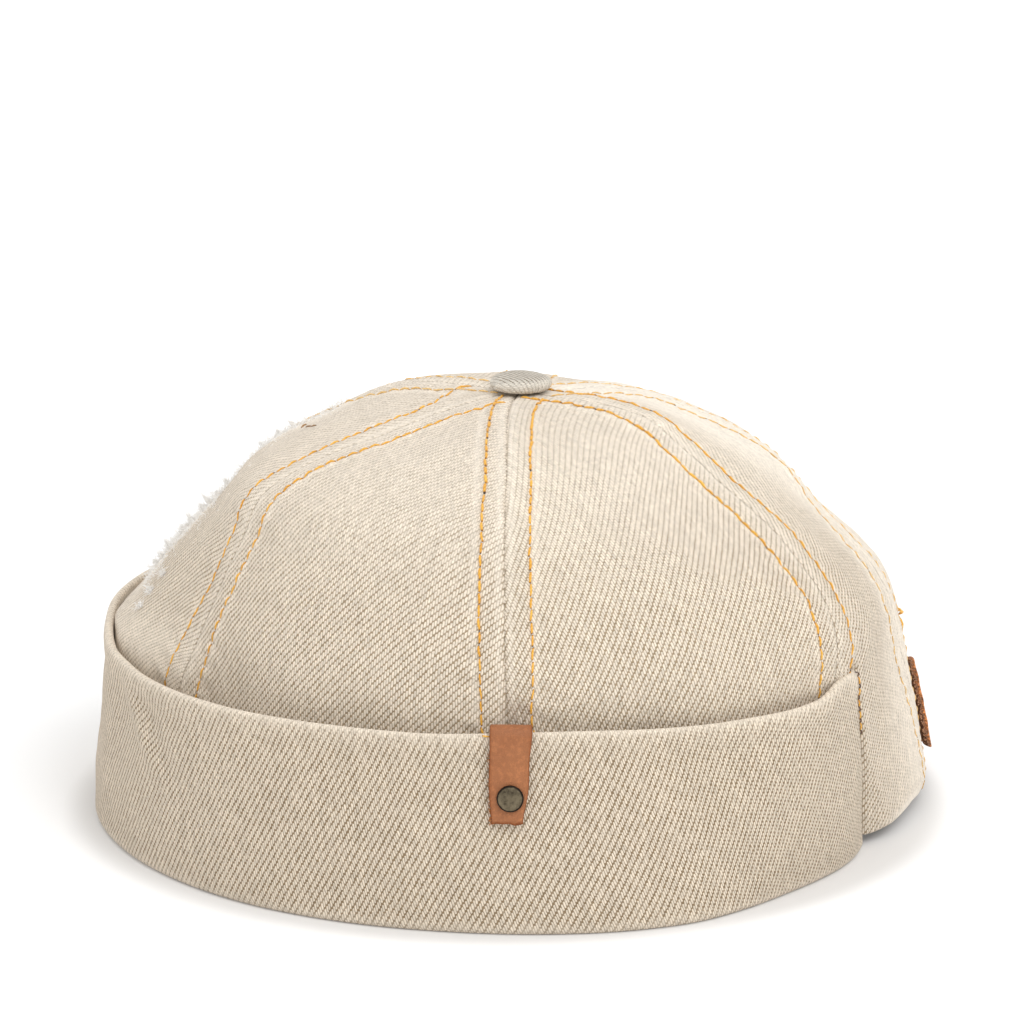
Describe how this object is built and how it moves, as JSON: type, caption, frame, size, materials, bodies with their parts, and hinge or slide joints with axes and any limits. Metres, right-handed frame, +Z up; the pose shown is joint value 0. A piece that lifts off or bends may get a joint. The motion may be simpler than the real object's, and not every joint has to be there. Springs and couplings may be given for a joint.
{
  "type": "docker cap",
  "caption": "Brimless cap with a six-panel twill crown, a turned-up cuff, a covered button, a riveted leather tab and a leather back strap.",
  "frame": {"origin": "middle of the cap's footprint, on the surface that it rests on", "axes": "+Z up, -Y towards the front seam and the leather tab, +X to the right of someone who faces the tab"},
  "size_m": [0.2038, 0.2008, 0.1069],
  "materials": {
    "crown_twill": "ecru cotton twill",
    "cuff_twill": "ecru cotton twill, wrong side out",
    "button_twill": "grey-brown cotton twill",
    "tab_leather": "smooth tan leather, semi-matt",
    "rivet_brass": "antique brass",
    "strap_leather": "brown leather"
  },
  "bodies": {
    "root": {"crown_panel_left": "crown_twill", "crown_panel_front_left": "crown_twill", "crown_panel_front_right": "crown_twill", "crown_panel_right": "crown_twill", "crown_panel_back_right": "crown_twill", "crown_panel_back_left": "crown_twill", "cuff": "cuff_twill", "button": "button_twill", "leather_tab": "tab_leather", "rivet": "rivet_brass", "back_strap": "strap_leather"}
  },
  "joints": []
}
